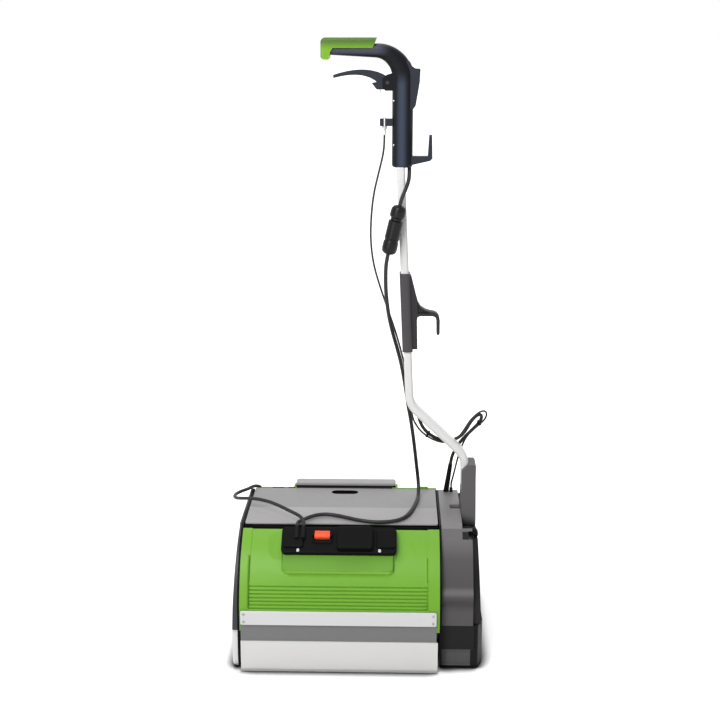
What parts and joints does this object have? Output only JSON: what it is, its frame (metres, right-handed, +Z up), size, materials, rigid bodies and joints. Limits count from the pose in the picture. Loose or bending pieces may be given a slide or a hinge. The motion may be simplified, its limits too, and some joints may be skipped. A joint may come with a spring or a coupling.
{
  "type": "roller floor scrubber",
  "caption": "Upright floor scrubber with counter-rotating cylindrical brushes under a domed body, a lift-out water tank, a switch panel and a side handle that swings front to back.",
  "frame": {"origin": "on the floor, below the middle of the machine's width and depth, without the free cables", "axes": "+Z up; the front with the switch panel is at -Y; the drive housing and the handle are at +X"},
  "size_m": [0.4836, 0.4068, 1.105],
  "materials": {
    "green_shell": "satin moulded plastic",
    "grey_tank": "smooth moulded plastic",
    "grey_housing": "fine moulded grain",
    "dark_plastic": "fine moulded grain",
    "inner_plastic": "plain moulded plastic",
    "black_plastic": "fine moulded grain",
    "grey_sleeve": "smooth moulded plastic",
    "stem_plastic": "satin moulded plastic",
    "grip_green": "satin moulded plastic",
    "rocker_orange": "satin moulded plastic",
    "tube_paint": "white powder coat",
    "apron_white": "flexible sheet",
    "apron_band": "flexible band",
    "pale_strip": "silver anodised",
    "plate_metal": "plain sheet",
    "steel": "turned",
    "dark_steel": "blackened",
    "brush_core": "turned",
    "bristle": "nylon filament",
    "gear_nylon": "nylon",
    "rubber_black": "soft rubber",
    "cable_black": "smooth jacket"
  },
  "bodies": {
    "chassis": {"left_end_plate": "plate_metal", "right_end_plate": "plate_metal", "left_side_cover": "grey_housing", "left_side_skirt": "pale_strip", "front_cover": "green_shell", "rear_cover": "green_shell", "front_apron_strip": "pale_strip", "front_apron_band": "apron_band", "front_apron_sheet": "apron_white", "rear_apron_strip": "pale_strip", "rear_apron_band": "apron_band", "rear_apron_sheet": "apron_white", "panel_screws": "steel", "carry_bar": "grey_tank", "switch_box": "black_plastic", "breaker_cover": "black_plastic", "cable_glands": "rubber_black", "recovery_tray": "inner_plastic", "motor": "dark_steel", "drive_belt": "rubber_black", "idler_axles": "steel", "roller_bearings": "steel", "drive_housing": "grey_housing", "drive_lid": "grey_housing", "drive_side_cover": "dark_plastic", "brush_guard_upper": "dark_plastic", "brush_guard_lower": "dark_plastic", "stop_buffers": "rubber_black", "pivot_pin": "dark_steel", "mains_cable_lower": "cable_black", "switch_lead": "cable_black", "control_leads": "cable_black"},
    "handle": {"bracket_front_half": "grey_sleeve", "bracket_rear_half": "grey_sleeve", "handle_tube": "tube_paint", "mid_sleeve": "grey_sleeve", "mid_hook": "black_plastic", "handle_stem": "stem_plastic", "grip_cap": "grip_green", "inlet_box": "stem_plastic", "upper_hook": "stem_plastic", "lever_pin": "dark_steel", "adjuster_bracket": "stem_plastic", "barrel_adjuster": "steel", "inline_coupler": "black_plastic", "mains_cable_upper": "cable_black", "control_cable": "cable_black", "inner_wire": "steel"},
    "lever": {"lever": "stem_plastic"},
    "rocker": {"rocker_switch": "rocker_orange"},
    "tank": {"solution_tank": "grey_tank", "tank_lid": "grey_tank"},
    "brush_front": {"brush_front_shaft": "brush_core", "brush_front_roller": "bristle"},
    "brush_rear": {"brush_rear_shaft": "brush_core", "brush_rear_roller": "bristle"},
    "idler_front": {"idler_gear_front": "gear_nylon"},
    "idler_rear": {"idler_gear_rear": "gear_nylon"},
    "conveyor": {"conveyor_drum": "inner_plastic"},
    "motor_rotor": {"motor_pulley": "dark_steel"}
  },
  "joints": [
    {"name": "handle_tilt", "type": "hinge", "parent": "chassis", "child": "handle", "pos_m": [0.2065, 0, 0.232], "axis": [1, 0, 0], "range_deg": [-60, 60], "deforming": ["mains_cable_lower", "control_leads"]},
    {"name": "lever_squeeze", "type": "hinge", "parent": "handle", "child": "lever", "pos_m": [0.0515, 0, 1.028], "axis": [0, 1, 0], "range_deg": [0, 14], "stiffness_Nm_per_rad": 1.2, "springref_deg": -8.59, "deforming": ["inner_wire"]},
    {"name": "rocker_tilt", "type": "hinge", "parent": "chassis", "child": "rocker", "pos_m": [-0.0605, -0.13649, 0.23505], "axis": [1, 0, 0], "range_deg": [0, 16]},
    {"name": "tank_lift", "type": "slide", "parent": "chassis", "child": "tank", "axis": [0, 0, 1], "range_m": [0, 0.06], "deforming": ["mains_cable_lower", "switch_lead"]},
    {"name": "brush_front_spin", "type": "hinge", "parent": "chassis", "child": "brush_front", "pos_m": [0, -0.096, 0.0523], "axis": [1, 0, 0], "continuous": true},
    {"name": "brush_rear_spin", "type": "hinge", "parent": "chassis", "child": "brush_rear", "pos_m": [0, 0.096, 0.0523], "axis": [1, 0, 0], "continuous": true},
    {"name": "idler_front_spin", "type": "hinge", "parent": "chassis", "child": "idler_front", "pos_m": [0, -0.032, 0.0523], "axis": [1, 0, 0], "continuous": true},
    {"name": "idler_rear_spin", "type": "hinge", "parent": "chassis", "child": "idler_rear", "pos_m": [0, 0.032, 0.0523], "axis": [1, 0, 0], "continuous": true},
    {"name": "conveyor_spin", "type": "hinge", "parent": "chassis", "child": "conveyor", "pos_m": [0, 0, 0.1], "axis": [1, 0, 0], "continuous": true},
    {"name": "motor_spin", "type": "hinge", "parent": "chassis", "child": "motor_rotor", "pos_m": [0, 0.055, 0.149], "axis": [1, 0, 0], "continuous": true}
  ],
  "couplings": [
    {"joint": "brush_rear_spin", "follows": "brush_front_spin", "ratio": -1},
    {"joint": "idler_front_spin", "follows": "brush_front_spin", "ratio": -1},
    {"joint": "idler_rear_spin", "follows": "brush_front_spin", "ratio": 1},
    {"joint": "conveyor_spin", "follows": "brush_front_spin", "ratio": 1.0909},
    {"joint": "motor_spin", "follows": "brush_front_spin", "ratio": 1.7143}
  ]
}
